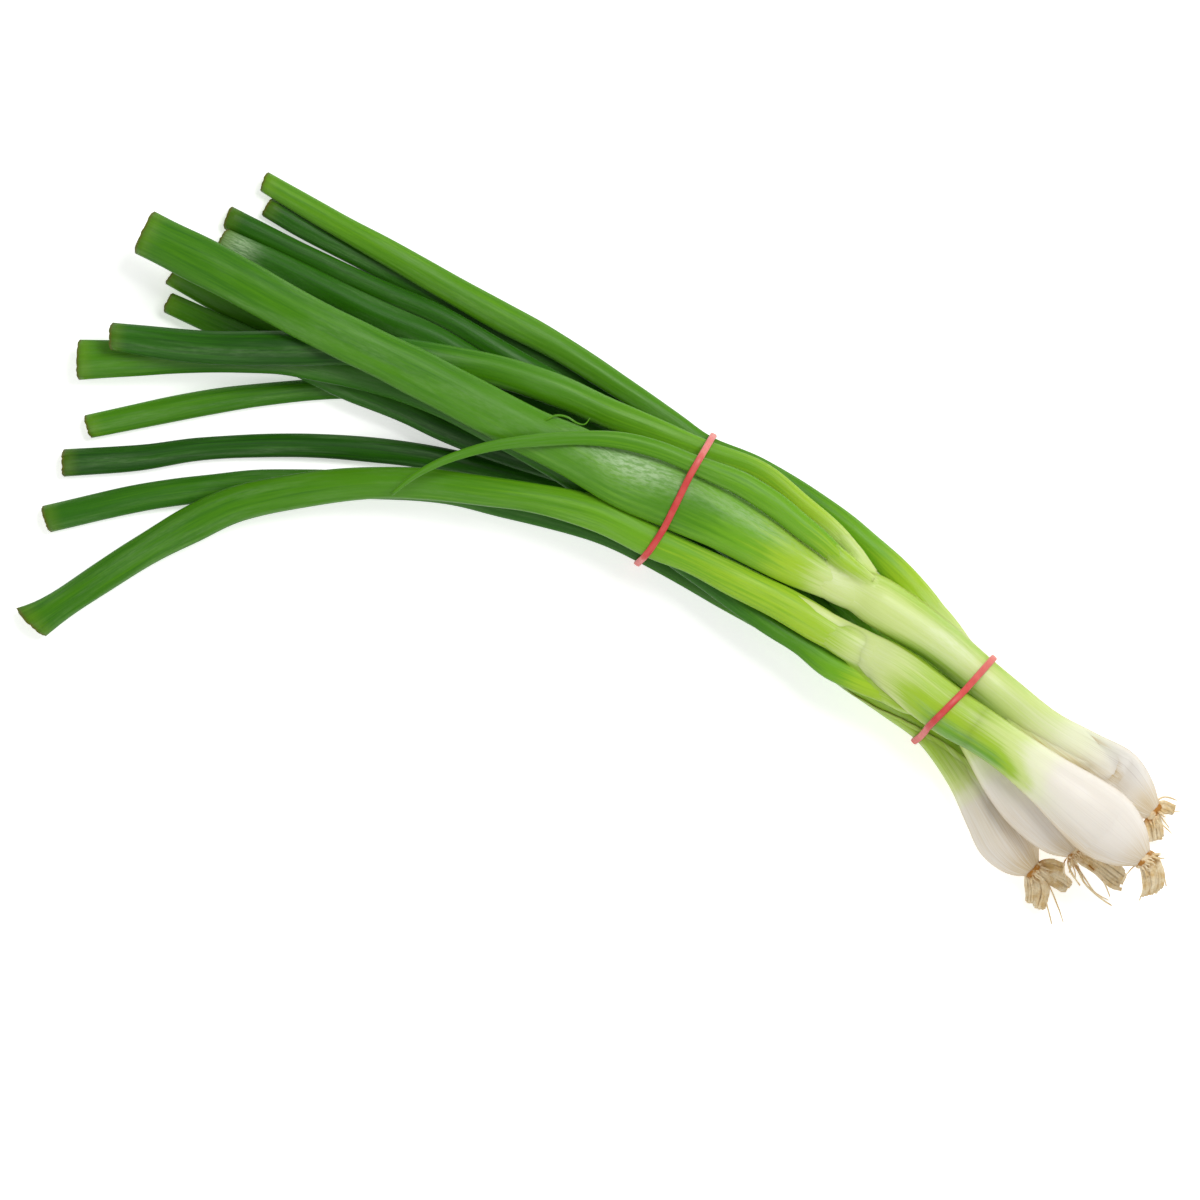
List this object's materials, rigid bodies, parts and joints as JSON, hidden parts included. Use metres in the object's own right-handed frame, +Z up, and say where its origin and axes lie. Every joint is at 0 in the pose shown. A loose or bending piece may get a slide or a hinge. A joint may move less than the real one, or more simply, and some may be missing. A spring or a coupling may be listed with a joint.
{
  "type": "spring onion bunch",
  "caption": "Bunch of spring onions lying down: white bulbs with roots, shafts and hollow green leaves cut at the ends, tied by rubber bands.",
  "frame": {"origin": "on the table under the middle of the bunch's box, where the bunch lies", "axes": "+Z up, +X along the bunch's longest side from the cut leaf ends to the bulbs, +Y to the side that the wide top leaf points to"},
  "size_m": [0.3342, 0.2116, 0.0413],
  "materials": {
    "bulb": "satin",
    "leaf": "satin",
    "root": "matte",
    "band": "satin"
  },
  "bodies": {
    "root": {"onion_a_bulb": "bulb", "onion_a_leaf_1": "leaf", "onion_a_leaf_2": "leaf", "onion_a_leaf_3": "leaf", "onion_a_leaf_4": "leaf", "onion_a_roots": "root", "onion_b_bulb": "bulb", "onion_b_leaf_1": "leaf", "onion_b_leaf_2": "leaf", "onion_b_leaf_3": "leaf", "onion_b_leaf_4": "leaf", "onion_b_roots": "root", "onion_c_bulb": "bulb", "onion_c_leaf_1": "leaf", "onion_c_leaf_2": "leaf", "onion_c_roots": "root", "onion_d_bulb": "bulb", "onion_d_leaf_1": "leaf", "onion_d_leaf_2": "leaf", "onion_d_leaf_3": "leaf", "onion_d_leaf_4": "leaf", "onion_d_roots": "root", "band_upper": "band", "band_lower": "band"}
  },
  "joints": []
}
